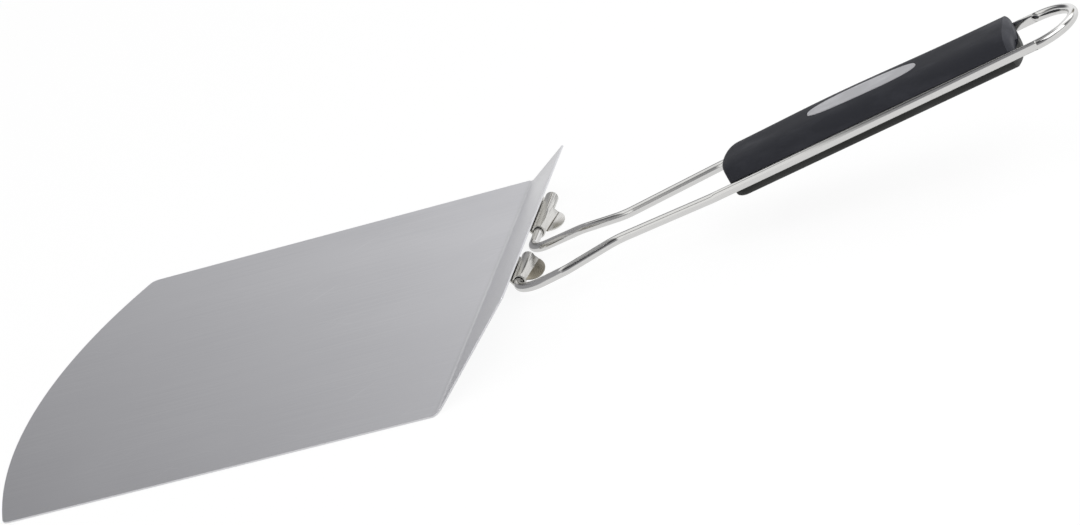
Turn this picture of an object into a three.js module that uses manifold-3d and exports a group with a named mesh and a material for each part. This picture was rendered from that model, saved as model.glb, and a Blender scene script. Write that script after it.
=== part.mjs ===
// Folding pizza peel: a thin steel blade whose rear edge is folded up into a flange, two rolled hinge
// brackets welded to the back of the flange, and one bent wire handle with a two-shell grip.
//
// Millimetres. +X runs across the blade, +Y towards its front edge and +Z up. The origin is the middle of
// the flat underside of the blade.

import * as THREE from "three";
import { mergeVertices } from "three/addons/utils/BufferGeometryUtils.js";
import Module from "manifold-3d";

const wasm = await Module();
wasm.setup();

const degrees = THREE.MathUtils.degToRad;

// Blade
const bladeThickness = 1;
const bladeWidth = 343;
const bladeSide = 277; // straight side, from the fold to the front arc
const bladeBulge = 32; // how far the front arc stands ahead of the sides
const frontCornerRadius = 6;

// Flange at the rear of the blade
const flangeAngle = degrees(41.2);
const flangeSlant = 57.4; // from the fold line to the free edge
const flangeInset = 56.5; // how much the free edge is shorter at each end
const flangeCornerRadius = 3;
const foldRadius = 6.5; // inside of the fold

// Hinge line
const hingeBehindFold = 23.4;
const hingeHeight = 4.9; // above the underside of the blade

// Handle wire. Distances run along the handle from the hinge line, spacings are between the two arms.
const wireDiameter = 6;
const handleRise = degrees(10.85);
const rootSpacing = 65;
const nearRootRadius = 20;
const farRootRadius = 13;
const elbowDistance = 37;
const elbowSpacing = 60.6;
const elbowRadius = 25;
const waistDistance = 70;
const waistSpacing = 37;
const waistRadius = 30;
const shoulderDistance = 136;
const shoulderSpacing = 49.8;
const shoulderRadius = 60;
const loopDistance = 347.2; // where the hanging loop leaves the straight arms
const loopSpacing = 47.7;
const nearPinReach = 55.5; // from the middle of the near arm to the end of its pin
const farPinReach = 84;

// Hinge brackets. Heights on the flange run up its slope from the fold line.
const bracketThickness = 0.9;
const weldSeam = 0.3; // between the foot and the flange
const pinClearance = 0.35;
const nearBracketStart = -12;
const nearBracketLength = 36;
const farBracketStart = 63;
const farBracketLength = 54.5;
const footTop = 44;
const footCornerRadius = 3;
const throatRadius = 3; // bend between the foot and the throat, inside
const throatAngle = degrees(75);
const rollAngle = degrees(300);

// Flap on top of each knuckle. It leaves the roll straight on, then leans up at a crease. Widths and creases
// are measured from where it leaves the roll, a tilt turns it down and a lean below zero turns it up.
const flapSetback = 0.5; // from the near end of the knuckle
const flapLength = 34;
const flapRounding = 8.5; // part of the width that the rounded tip takes
const flapSkew = degrees(5); // its far end stands further out
const flapCreaseRadius = 2.5; // inside
const nearFlapTilt = degrees(0);
const nearFlapCrease = 4.2;
const nearFlapWidth = 11.4;
const nearFlapLean = degrees(-18);
const farFlapTilt = degrees(8);
const farFlapCrease = 4.8;
const farFlapWidth = 12.2;
const farFlapLean = degrees(-40);

// Grip, measured along the handle from the hinge line and above and below the plane of the wire
const gripFront = 149; // at the sides, behind the bowed front face
const gripRear = 334.5;
const gripFrontBow = 3;
const gripRearBow = 1.5;
const gripRise = 13.9;
const gripDrop = 11.4;
const gripLowerInset = 1.1; // how much narrower the lower shell is, at each side
const gripSwell = 1.6; // how much higher the grip is at its fullest
const gripSwellDistance = 220;
const gripSwellReach = 54; // along the handle, to where the swell has mostly died out
const gripRounding = 6; // of the edges at both ends
const gripSplit = 0.3; // seam between the two shells
const grooveClearance = 0.3;

// Inlay in the top of the grip
const inlaySetback = 56; // from the front of the grip
const inlayLength = 71;
const inlayWidth = 19;
const inlayDepth = 1.6;
const inlayStand = 0.25; // how proud it stands of the grip
const inlayClearance = 0.3;

// Screws that hold the shells together, from below
const screwFrontSetback = 21; // from the front of the grip
const screwRearSetback = 18.5; // from its rear
const screwHeadDiameter = 6;
const screwHeadHeight = 2.2;
const screwShankDiameter = 3;
const screwBite = 7; // into the upper shell
const screwSink = 4.5; // depth of the head's hole in the lower shell
const screwClearance = 0.3;
const screwSlotWidth = 1;
const screwSlotDepth = 1.3;
const screwSlotLength = 3.8;

// Facets
const overrun = 4; // how far a cutter runs past what it cuts
const wireSides = 16;
const bendStep = degrees(15);
const foldStep = degrees(7);
const rollStep = degrees(15);
const frontArcSteps = 28;
const cornerSteps = 5;
const gripSides = 44;
const inlaySteps = 30;
const screwSides = 20;

// Derived sizes
const wireRadius = wireDiameter / 2;
const foldMidRadius = foldRadius + bladeThickness / 2;
const foldReach = foldMidRadius * Math.tan(flangeAngle / 2); // from the fold line to where the bend starts
const foldY = -bladeSide / 2;
const bladeMid = bladeThickness / 2;
const hingeY = foldY - hingeBehindFold;
const inlayMiddle = gripFront + inlaySetback + inlayLength / 2;
const screwFrontDistance = gripFront + screwFrontSetback;
const screwRearDistance = gripRear - screwRearSetback;

// Materials, one for each kind of surface
function steel(colour, roughness) {
  return new THREE.MeshStandardMaterial({ color: colour, roughness, metalness: 1 });
}

function moulding(colour, roughness) {
  return new THREE.MeshStandardMaterial({ color: colour, roughness, metalness: 0 });
}

// A closed mesh from shared corner points and triangles, turned outwards
function closedGeometry(points, triangles) {
  const geometry = new THREE.BufferGeometry();
  geometry.setAttribute("position", new THREE.Float32BufferAttribute(points.flatMap((p) => p.toArray()), 3));
  const turned = signedVolume(points, triangles) < 0;
  geometry.setIndex(triangles.flatMap(([a, b, c]) => (turned ? [a, c, b] : [a, b, c])));
  return geometry;
}

function signedVolume(points, triangles) {
  let sum = 0;
  for (const [a, b, c] of triangles) {
    sum += points[a].dot(new THREE.Vector3().crossVectors(points[b], points[c]));
  }
  return sum;
}

// Geometry to solid and back
function solid(geometry) {
  const bare = geometry.clone();
  bare.deleteAttribute("normal");
  bare.deleteAttribute("uv");
  const merged = mergeVertices(bare);
  return new wasm.Manifold(
    new wasm.Mesh({
      numProp: 3,
      vertProperties: new Float32Array(merged.attributes.position.array),
      triVerts: new Uint32Array(merged.index.array),
    }),
  );
}

function geometryOf(body) {
  const mesh = body.getMesh();
  const geometry = new THREE.BufferGeometry();
  geometry.setAttribute("position", new THREE.BufferAttribute(mesh.vertProperties, 3));
  geometry.setIndex(new THREE.BufferAttribute(mesh.triVerts, 1));
  return geometry;
}

function namedMesh(name, geometry, material) {
  const shown = geometry.index ? geometry.toNonIndexed() : geometry;
  shown.computeVertexNormals();
  const mesh = new THREE.Mesh(shown, material);
  mesh.name = name;
  return mesh;
}

// The middle line of a folded sheet, seen along the folds: straights and bends, one after the other. A bend
// with a positive angle turns left, towards the upper side of the sheet.
class FoldLine {
  constructor(start, heading) {
    this.pieces = [];
    this.end = { point: start.clone(), heading, distance: 0 };
    this.stops = [0];
  }

  straight(length) {
    return this.add(length, 0, 1);
  }

  bend(radius, angle, step) {
    return this.add(radius * Math.abs(angle), angle, Math.max(1, Math.ceil(Math.abs(angle) / step)));
  }

  add(length, turn, steps) {
    const piece = { ...this.end, length, turn };
    this.pieces.push(piece);
    for (let k = 1; k <= steps; k++) {
      this.stops.push(piece.distance + (length * k) / steps);
    }
    this.end = { ...this.on(piece, length), distance: piece.distance + length };
    return this;
  }

  on(piece, along) {
    const direction = new THREE.Vector2(Math.cos(piece.heading), Math.sin(piece.heading));
    if (piece.turn === 0) {
      return { point: piece.point.clone().addScaledVector(direction, along), heading: piece.heading };
    }
    const radius = piece.length / piece.turn; // negative for a bend to the right
    const turned = along / radius;
    const left = new THREE.Vector2(-direction.y, direction.x);
    const centre = piece.point.clone().addScaledVector(left, radius);
    const spoke = left.multiplyScalar(-radius).rotateAround(new THREE.Vector2(0, 0), turned);
    return { point: centre.add(spoke), heading: piece.heading + turned };
  }

  at(distance) {
    const piece = this.pieces.findLast((one) => one.distance <= distance) ?? this.pieces[0];
    return this.on(piece, distance - piece.distance);
  }
}

// A sheet cut to a flat outline and folded along a FoldLine. The outline holds [half width, distance along
// the sheet], from one end to the other. place puts (across, along the section, up the section) in space.
function foldedSheet(outline, line, thickness, place) {
  const [first, last] = [outline[0][1], outline[outline.length - 1][1]];
  const inner = line.stops.filter((s) => s > first && s < last);
  const merged = [...outline.map(([, s]) => s), ...inner].sort((a, b) => a - b);
  const distances = merged.filter((s, k) => k === 0 || s - merged[k - 1] > thickness / 100);
  const points = [];
  for (const s of distances) {
    const { point, heading } = line.at(s);
    const lift = new THREE.Vector2(-Math.sin(heading), Math.cos(heading)).multiplyScalar(thickness / 2);
    const half = widthAt(outline, s);
    for (const [side, face] of [[-1, -1], [1, -1], [1, 1], [-1, 1]]) {
      const corner = point.clone().addScaledVector(lift, face);
      points.push(place(side * half, corner.x, corner.y));
    }
  }
  return closedGeometry(points, tubeTriangles(distances.length, 4, false));
}

function widthAt(outline, s) {
  const k = Math.max(1, outline.findIndex(([, t]) => t >= s));
  const [[w0, s0], [w1, s1]] = [outline[k - 1], outline[k]];
  return s1 > s0 ? THREE.MathUtils.mapLinear(Math.max(s, s0), s0, s1, w0, w1) : w1;
}

// Triangles of a row of rings, closed by a fan at each end: round the ring's own corners, or about a middle
// point, which then follows the last ring in the list of points, first end before last
function tubeTriangles(rings, sides, middles) {
  const triangles = [];
  for (let r = 0; r + 1 < rings; r++) {
    for (let k = 0; k < sides; k++) {
      const [a, b] = [r * sides + k, r * sides + ((k + 1) % sides)];
      triangles.push([a, b, b + sides], [a, b + sides, a + sides]);
    }
  }
  const end = (rings - 1) * sides;
  if (middles) {
    const middle = rings * sides;
    for (let k = 0; k < sides; k++) {
      const next = (k + 1) % sides;
      triangles.push([middle, next, k], [middle + 1, end + k, end + next]);
    }
  } else {
    for (let k = 1; k + 1 < sides; k++) {
      triangles.push([0, k + 1, k], [end, end + k, end + k + 1]);
    }
  }
  return triangles;
}

// Points and headings along a path of straights with rounded corners. Each corner is [x, y, radius].
function roundedPath(corners, step) {
  const stations = [];
  const push = (point, tangent) => {
    const before = stations[stations.length - 1];
    if (!before || before.point.distanceTo(point) > wireDiameter / 1000) {
      stations.push({ point, tangent });
    }
  };
  const at = (k) => new THREE.Vector2(corners[k][0], corners[k][1]);
  const last = corners.length - 1;
  push(at(0), at(1).sub(at(0)).normalize());
  for (let k = 1; k < last; k++) {
    const [into, out] = [at(k).sub(at(k - 1)).normalize(), at(k + 1).sub(at(k)).normalize()];
    const turn = Math.atan2(into.cross(out), into.dot(out));
    const radius = corners[k][2];
    const start = at(k).addScaledVector(into, -radius * Math.tan(Math.abs(turn) / 2));
    const left = new THREE.Vector2(-into.y, into.x).multiplyScalar(Math.sign(turn) * radius);
    const centre = start.clone().add(left);
    const steps = Math.max(1, Math.ceil(Math.abs(turn) / step));
    for (let i = 0; i <= steps; i++) {
      const angle = (turn * i) / steps;
      const origin = new THREE.Vector2(0, 0);
      push(start.clone().rotateAround(centre, angle), into.clone().rotateAround(origin, angle));
    }
  }
  push(at(last), at(last).sub(at(last - 1)).normalize());
  return stations;
}

// A curve through stations, which a tube follows with one ring at each station
class StationCurve extends THREE.Curve {
  constructor(points, tangents) {
    super();
    this.points = points;
    this.tangents = tangents;
  }

  getUtoTmapping(u) {
    return u;
  }

  getPoint(t, target = new THREE.Vector3()) {
    const place = t * (this.points.length - 1);
    const k = Math.min(Math.floor(place), this.points.length - 2);
    return target.lerpVectors(this.points[k], this.points[k + 1], place - k);
  }

  getTangent(t, target = new THREE.Vector3()) {
    return target.copy(this.tangents[Math.round(t * (this.points.length - 1))]);
  }
}

function regularSection(radius, sides) {
  const turn = (2 * Math.PI) / sides;
  const corner = (k) => new THREE.Vector2(radius * Math.cos(k * turn), radius * Math.sin(k * turn));
  return new THREE.Shape(Array.from({ length: sides }, (_, k) => corner(k)));
}

// Blade with its flange

function roundedCorner([x0, y0], [x1, y1], [x2, y2], radius) {
  const path = roundedPath([[x0, y0, 0], [x1, y1, radius], [x2, y2, 0]], Math.PI / 2 / cornerSteps);
  return path.slice(1, -1).map(({ point }) => [point.x, point.y]);
}

// Half of the flat pattern, from the middle of the front arc to the free edge of the flange
function bladeOutline(flatLength, patternLength) {
  const half = bladeWidth / 2;
  const arcRadius = (half ** 2 + bladeBulge ** 2) / (2 * bladeBulge);
  const arcAngle = Math.asin(half / arcRadius);
  const onArc = (angle) => [arcRadius * Math.sin(angle), arcRadius * (1 - Math.cos(angle))];
  const arc = [];
  for (let k = 0; k < frontArcSteps; k++) {
    arc.push(onArc((arcAngle * (k + 1 / 2)) / (frontArcSteps + 1 / 2)));
  }
  const foldCorner = [half, flatLength];
  const edgeHalf = half - flangeInset;
  const frontCorner = roundedCorner(arc[arc.length - 1], onArc(arcAngle), foldCorner, frontCornerRadius);
  const clear = arc.filter(([x]) => x < frontCorner[0][0] - frontCornerRadius / 10);
  const freeEdge = [[edgeHalf, patternLength], [0, patternLength]];
  const edgeCorner = roundedCorner(foldCorner, ...freeEdge, flangeCornerRadius);
  return [...clear, ...frontCorner, foldCorner, ...edgeCorner];
}

function blade() {
  const flatLength = bladeBulge + bladeSide - foldReach;
  const line = new FoldLine(new THREE.Vector2(foldY - bladeBulge, bladeMid), 0)
    .straight(flatLength)
    .bend(foldMidRadius, flangeAngle, foldStep)
    .straight(flangeSlant - foldReach);
  const outline = bladeOutline(flatLength, line.end.distance);
  const place = (across, back, up) => new THREE.Vector3(across, -back, up);
  const geometry = foldedSheet(outline, line, bladeThickness, place);
  return namedMesh("blade", geometry, steel(0xafafb9, 0.35));
}

// Hinge brackets. A place on the back of the flange is (up the slope, off the middle of the sheet).

function offFlange(across, slope, off) {
  const back = slope * Math.cos(flangeAngle) + off * Math.sin(flangeAngle);
  const up = slope * Math.sin(flangeAngle) - off * Math.cos(flangeAngle);
  return new THREE.Vector3(across, foldY - back, bladeMid + up);
}

function hingeOnFlange() {
  const up = hingeHeight - bladeMid;
  return new THREE.Vector2(
    hingeBehindFold * Math.cos(flangeAngle) + up * Math.sin(flangeAngle),
    hingeBehindFold * Math.sin(flangeAngle) - up * Math.cos(flangeAngle),
  );
}

const footOff = bladeThickness / 2 + weldSeam + bracketThickness / 2;
const rollRadius = wireRadius + pinClearance + bracketThickness / 2;

// Foot, throat and rolled knuckle in one strip
function knuckleStrip(start, length) {
  const hinge = hingeOnFlange();
  const throat = throatRadius + bracketThickness / 2;
  const towards = new THREE.Vector2(Math.sin(throatAngle), Math.cos(throatAngle));
  const rise = (hinge.y - footOff - throat) * towards.y + throat - rollRadius;
  const footEnd = hinge.x + rise / towards.x;
  const bendEnd = new THREE.Vector2(footEnd, footOff + throat).addScaledVector(towards, -throat);
  const rollStart = hinge.clone().addScaledVector(towards, -rollRadius);
  const line = new FoldLine(new THREE.Vector2(footTop, footOff), Math.PI)
    .straight(footTop - footEnd)
    .bend(throat, -throatAngle, bendStep)
    .straight(rollStart.distanceTo(bendEnd))
    .bend(rollRadius, -rollAngle, rollStep);
  const half = length / 2;
  const footCorner = roundedCorner([0, 0], [half, 0], [half, line.end.distance], footCornerRadius);
  const outline = [...footCorner, [half, line.end.distance]];
  const middle = start + half;
  const place = (across, slope, off) => offFlange(middle + across, slope, off);
  return foldedSheet(outline, line, bracketThickness, place);
}

// Flap with a rounded tip. Its section starts on the roll and runs outwards, with the pin on its left.
function flap(start, { tilt, crease, width, lean }) {
  const creaseRadius = flapCreaseRadius + bracketThickness / 2;
  const creaseReach = creaseRadius * Math.tan(Math.abs(lean) / 2);
  const line = new FoldLine(new THREE.Vector2(0, 0), 0)
    .straight(crease - creaseReach)
    .bend(creaseRadius, lean, bendStep / 2)
    .straight(width - crease - creaseReach);
  const half = flapLength / 2;
  const round = line.end.distance - flapRounding;
  const outline = [[half, 0]];
  const steps = 3 * cornerSteps;
  for (let k = 0; k < steps; k++) {
    const angle = (Math.PI / 2) * (k / (steps - 1 / 2));
    outline.push([half * Math.cos(angle), round + flapRounding * Math.sin(angle)]);
  }
  const out = new THREE.Vector2(0, 1).rotateAround(new THREE.Vector2(0, 0), tilt);
  const left = new THREE.Vector2(-out.y, out.x);
  const root = hingeOnFlange().addScaledVector(left, -rollRadius);
  const [turnX, turnY] = [Math.cos(flapSkew), Math.sin(flapSkew)];
  const place = (across, along, towardsPin) => {
    const reach = across * turnY + along * turnX;
    const spot = root.clone().addScaledVector(out, reach).addScaledVector(left, towardsPin);
    return offFlange(start + flapSetback + half + across * turnX - along * turnY, spot.x, spot.y);
  };
  return foldedSheet(outline, line, bracketThickness, place);
}

function bracket(name, start, length, flapSizes) {
  const body = solid(knuckleStrip(start, length)).add(solid(flap(start, flapSizes)));
  return namedMesh(name, geometryOf(body), steel(0xc4c4c6, 0.25));
}

// Handle wire, in the plane of the handle: x across, y along the handle from the hinge line

function wireCorners() {
  const loopEnd = loopDistance + loopSpacing / 2;
  return [
    [nearPinReach - rootSpacing / 2, 0, 0],
    [-rootSpacing / 2, 0, nearRootRadius],
    [-elbowSpacing / 2, elbowDistance, elbowRadius],
    [-waistSpacing / 2, waistDistance, waistRadius],
    [-shoulderSpacing / 2, shoulderDistance, shoulderRadius],
    [-loopSpacing / 2, loopDistance, 0],
    [-loopSpacing / 2, loopEnd, loopSpacing / 2],
    [loopSpacing / 2, loopEnd, loopSpacing / 2],
    [loopSpacing / 2, loopDistance, 0],
    [shoulderSpacing / 2, shoulderDistance, shoulderRadius],
    [waistSpacing / 2, waistDistance, waistRadius],
    [elbowSpacing / 2, elbowDistance, elbowRadius],
    [rootSpacing / 2, 0, farRootRadius],
    [farPinReach + rootSpacing / 2, 0, 0],
  ];
}

function wireTube(radius) {
  const stations = roundedPath(wireCorners(), bendStep);
  const curve = new StationCurve(
    stations.map(({ point }) => new THREE.Vector3(point.x, -point.y, 0)),
    stations.map(({ tangent }) => new THREE.Vector3(tangent.x, -tangent.y, 0)),
  );
  return new THREE.ExtrudeGeometry(regularSection(radius, wireSides), {
    steps: stations.length - 1,
    extrudePath: curve,
  });
}

function wireHandle() {
  return namedMesh("wire_handle", wireTube(wireRadius), steel(0xd8d8d8, 0.08));
}

// Grip. Its width follows the two arms, which lie in grooves along its sides.

function armHalf(distance) {
  const share = (distance - shoulderDistance) / (loopDistance - shoulderDistance);
  return THREE.MathUtils.lerp(shoulderSpacing, loopSpacing, share) / 2;
}

// Shares of the end rounding used up, and of the section left, at each ring of a rounded end
const endShares = [[0, 0.74], [0.08, 0.86], [0.3, 0.945], [0.62, 0.985], [1, 1]];

// Exponents of the section's rounded outline, above and below the wire
const upperSquarenessShare = 3.4;
const lowerSquarenessShare = 3.0;

function gripRing(distance, share, bow, grow) {
  const swell = gripSwell * Math.exp(-(((distance - gripSwellDistance) / gripSwellReach) ** 2));
  const ring = [];
  for (let k = 0; k < gripSides; k++) {
    const angle = (2 * Math.PI * (k + 1 / 2)) / gripSides;
    const [c, s] = [Math.cos(angle), Math.sin(angle)];
    const upper = s > 0;
    const half = (armHalf(distance) - (upper ? 0 : gripLowerInset)) * share + grow;
    const height = (upper ? gripRise - gripSwell + swell : gripDrop) * share + grow;
    const exponent = upper ? upperSquarenessShare : lowerSquarenessShare;
    const reach = (Math.abs(c) ** exponent + Math.abs(s) ** exponent) ** (-1 / exponent);
    const x = half * c * reach;
    const bowed = bow * (1 - (x / half) ** 2);
    ring.push(new THREE.Vector3(x, -(distance + bowed), height * s * reach));
  }
  return ring;
}

function gripForm(grow) {
  const rings = endShares.map(([along, share]) =>
    gripRing(gripFront + along * gripRounding - grow, share, -gripFrontBow * (1 - along), grow));
  const steps = 8;
  const [from, to] = [gripFront + gripFrontBow + gripRounding, gripRear - gripRounding - gripRearBow];
  for (let k = 0; k <= steps; k++) {
    rings.push(gripRing(from + ((to - from) * k) / steps, 1, 0, grow));
  }
  for (const [along, share] of endShares.slice().reverse()) {
    rings.push(gripRing(gripRear - along * gripRounding + grow, share, gripRearBow * (1 - along), grow));
  }
  const points = rings.flat();
  points.push(new THREE.Vector3(0, -(gripFront - gripFrontBow - grow), 0));
  points.push(new THREE.Vector3(0, -(gripRear + gripRearBow + grow), 0));
  return closedGeometry(points, tubeTriangles(rings.length, gripSides, true));
}

// A block that covers the grip on one side of the wire's plane, clear of the seam
function halfSpace(side) {
  const length = gripRear - gripFront + 2 * gripFrontBow + 2 * overrun;
  const depth = gripRise + gripDrop + overrun;
  const block = new THREE.BoxGeometry(shoulderSpacing + 2 * overrun, length, depth);
  block.translate(0, -(gripFront + gripRear) / 2, side * (depth + gripSplit) / 2);
  return solid(block);
}

// Oval prism of the inlay, standing across the top of the grip
function inlayPrism(grow) {
  const half = inlayLength / 2 + grow;
  const shape = new THREE.Shape();
  shape.absellipse(0, 0, inlayWidth / 2 + grow, half, 0, 2 * Math.PI, false, 0);
  const prism = new THREE.ExtrudeGeometry(shape, {
    depth: gripRise + overrun,
    bevelEnabled: false,
    curveSegments: inlaySteps,
  });
  prism.translate(0, -inlayMiddle, 0);
  return solid(prism);
}

function turned(profile, distance) {
  const geometry = new THREE.LatheGeometry(profile.map(([r, h]) => new THREE.Vector2(r, h)), screwSides);
  geometry.rotateX(Math.PI / 2);
  geometry.translate(0, -distance, 0);
  return geometry;
}

// Screw, or the hole that it leaves: the head's underside rests in the lower shell
function screwForm(distance, grow, headEnd) {
  const seat = -gripDrop + screwSink;
  return turned(
    [
      [0, headEnd],
      [screwHeadDiameter / 2 + grow, headEnd],
      [screwHeadDiameter / 2 + grow, seat + grow],
      [screwShankDiameter / 2 + grow, seat + grow],
      [screwShankDiameter / 2 + grow, screwBite + grow],
      [0, screwBite + grow],
    ],
    distance,
  );
}

function screwHole(distance) {
  return solid(screwForm(distance, screwClearance, -gripDrop - overrun));
}

function screw(name, distance) {
  const headEnd = -gripDrop + screwSink - screwHeadHeight;
  let body = solid(screwForm(distance, 0, headEnd));
  for (const [width, length] of [[screwSlotWidth, screwSlotLength], [screwSlotLength, screwSlotWidth]]) {
    const slot = new THREE.BoxGeometry(width, length, 2 * screwSlotDepth);
    slot.translate(0, -distance, headEnd);
    body = body.subtract(solid(slot));
  }
  return namedMesh(name, geometryOf(body), steel(0x9a9a9c, 0.35));
}

function gripShells() {
  const groove = solid(wireTube(wireRadius + grooveClearance));
  const whole = solid(gripForm(0)).subtract(groove)
    .subtract(screwHole(screwFrontDistance))
    .subtract(screwHole(screwRearDistance));
  const floor = solid(gripForm(-inlayDepth));
  const recess = inlayPrism(inlayClearance).subtract(floor);
  const rubber = () => moulding(0x38393d, 0.75);
  const upper = whole.intersect(halfSpace(1)).subtract(recess);
  const lower = whole.intersect(halfSpace(-1));
  return [
    namedMesh("grip_upper_shell", geometryOf(upper), rubber()),
    namedMesh("grip_lower_shell", geometryOf(lower), rubber()),
  ];
}

function gripInlay() {
  const body = inlayPrism(0)
    .intersect(solid(gripForm(inlayStand)))
    .subtract(solid(gripForm(-inlayDepth + inlayClearance)));
  return namedMesh("grip_inlay", geometryOf(body), moulding(0xa3a3a7, 0.5));
}

// Assembly
const peel = new THREE.Group();
peel.add(blade());
peel.add(
  bracket("near_bracket", nearBracketStart, nearBracketLength, {
    tilt: nearFlapTilt,
    crease: nearFlapCrease,
    width: nearFlapWidth,
    lean: nearFlapLean,
  }),
  bracket("far_bracket", farBracketStart, farBracketLength, {
    tilt: farFlapTilt,
    crease: farFlapCrease,
    width: farFlapWidth,
    lean: farFlapLean,
  }),
);

const handle = new THREE.Group();
handle.position.set(0, hingeY, hingeHeight);
handle.rotation.x = -handleRise;
handle.add(
  wireHandle(),
  ...gripShells(),
  gripInlay(),
  screw("grip_screw_front", screwFrontDistance),
  screw("grip_screw_rear", screwRearDistance),
);
peel.add(handle);

export default peel;
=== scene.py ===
"""Looks of the folding pizza peel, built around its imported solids.

The peel is a thin folded steel blade, two rolled brackets on its rear flange, and a bent wire handle
with a two-shell grip. Sizes are in metres, in the frame of the solids: +X across the blade, +Y towards
its front edge, +Z up, with the middle of the blade's underside at the origin.
"""

import math

import bmesh
import bpy
import numpy as np
from bpy.props import FloatProperty, FloatVectorProperty, IntProperty, PointerProperty
from mathutils import Matrix, Vector


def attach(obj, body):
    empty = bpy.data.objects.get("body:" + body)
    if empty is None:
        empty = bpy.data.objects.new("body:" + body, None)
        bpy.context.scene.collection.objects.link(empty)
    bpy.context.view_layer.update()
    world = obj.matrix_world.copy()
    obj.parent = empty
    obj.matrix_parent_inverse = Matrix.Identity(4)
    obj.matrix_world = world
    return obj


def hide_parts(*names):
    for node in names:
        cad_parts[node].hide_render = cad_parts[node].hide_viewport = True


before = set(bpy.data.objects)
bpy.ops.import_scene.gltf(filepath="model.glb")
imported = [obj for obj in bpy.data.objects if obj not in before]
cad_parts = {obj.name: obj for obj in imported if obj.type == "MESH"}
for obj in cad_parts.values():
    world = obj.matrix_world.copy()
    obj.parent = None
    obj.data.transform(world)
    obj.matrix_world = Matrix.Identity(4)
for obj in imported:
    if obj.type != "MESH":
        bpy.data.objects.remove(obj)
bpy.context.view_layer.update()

bl_info = {
    "name": "Folding Pizza Peel",
    "version": (1, 0, 0),
    "blender": (4, 5, 0),
    "location": "View3D > Sidebar > Peel",
    "description": "Builds a folding pizza peel with a steel blade, rolled hinge brackets and a wire handle",
    "category": "Object",
}

# Blade and flange
BLADE_THICKNESS = 0.001
BLADE_WIDTH = 0.343
BLADE_SIDE = 0.277
BLADE_BULGE = 0.03199
FRONT_CORNER_RADIUS = 0.006
FLANGE_ANGLE = math.radians(41.2)
FLANGE_SLANT = 0.0574
FLANGE_INSET = 0.0565
FLANGE_CORNER_RADIUS = 0.003
FOLD_RADIUS = 0.007
FOLD_Y = -BLADE_SIDE / 2
FOLD_REACH = FOLD_RADIUS * math.tan(FLANGE_ANGLE / 2)
BLADE_MID = BLADE_THICKNESS / 2

# Hinge line and handle plane
HINGE_BEHIND_FOLD = 0.0234
HINGE_Y = FOLD_Y - HINGE_BEHIND_FOLD
HINGE_Z = 0.0049
HANDLE_RISE = math.radians(10.85)
HANDLE_PLACE = Matrix.Translation((0, HINGE_Y, HINGE_Z)) @ Matrix.Rotation(-HANDLE_RISE, 4, "X")

# Wire. Each bend of the arms: half of their spacing, place along the handle from the hinge line, radius
WIRE_DIAMETER = 0.006
NEAR_PIN_END = 0.0230
FAR_PIN_END = 0.1165
ARM_ROOT = 0.0325
NEAR_ROOT_RADIUS = 0.020
FAR_ROOT_RADIUS = 0.013
LOOP_RADIUS = 0.02385
ELBOW = (0.0303, 0.037, 0.025)
WAIST = (0.0185, 0.070, 0.030)
SHOULDER = (0.0249, 0.136, 0.060)
LOOP_START = (LOOP_RADIUS, 0.3472, 0)
LOOP_CORNER = (LOOP_RADIUS, 0.37098, LOOP_RADIUS)
ARM_BENDS = (ELBOW, WAIST, SHOULDER, LOOP_START, LOOP_CORNER)
WIRE_CORNERS = (
    (NEAR_PIN_END, 0, 0),
    (-ARM_ROOT, 0, NEAR_ROOT_RADIUS),
    *((-half, along, radius) for half, along, radius in ARM_BENDS),
    *reversed(ARM_BENDS),
    (ARM_ROOT, 0, FAR_ROOT_RADIUS),
    (FAR_PIN_END, 0, 0),
)
PIN_END_ROUNDING = 0.0007

# Brackets, with their radii to the middle of the sheet
BRACKET_THICKNESS = 0.0009
WELD_SEAM = 0.0003
PIN_CLEARANCE = 0.00035
FOOT_OFF = BLADE_THICKNESS / 2 + WELD_SEAM + BRACKET_THICKNESS / 2
FOOT_TOP = 0.044
FOOT_CORNER_RADIUS = 0.003
THROAT_RADIUS = 0.003 + BRACKET_THICKNESS / 2
THROAT_ANGLE = math.radians(75)
ROLL_RADIUS = WIRE_DIAMETER / 2 + PIN_CLEARANCE + BRACKET_THICKNESS / 2
ROLL_ANGLE = math.radians(300)
# Start, length and tone of the painted darkening on the flap: painted dark reflection on the near one,
# painted shade in the far one's crease
BRACKETS = {
    "near_bracket": (-0.012, 0.036, (0.36, 0.33, 0.27)),
    "far_bracket": (0.063, 0.0545, (0.24, 0.22, 0.19)),
}

# Flaps, a hair thinner than the roll that they join. The painted darkening reaches on from within the crease:
# painted dark reflection out to the near flap's tip, a thin painted shade in the far flap's crease.
FLAP_THICKNESS = 0.98 * BRACKET_THICKNESS
CREASE_RADIUS = 0.0025 + BRACKET_THICKNESS / 2
FLAP_SETBACK = 0.0005
FLAP_LENGTH = 0.034
FLAP_ROUNDING = 0.0085
FLAP_SKEW = math.radians(5)
PAINTED_DARK_START_SHARE = 0.45
FLAPS = {
    "near_bracket": dict(tilt=0, crease=0.0042, width=0.0114, lean=math.radians(-18), painted_dark_reach=0.03),
    "far_bracket": dict(
        tilt=math.radians(8), crease=0.0048, width=0.0122, lean=math.radians(-40), painted_dark_reach=0.0011
    ),
}

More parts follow.
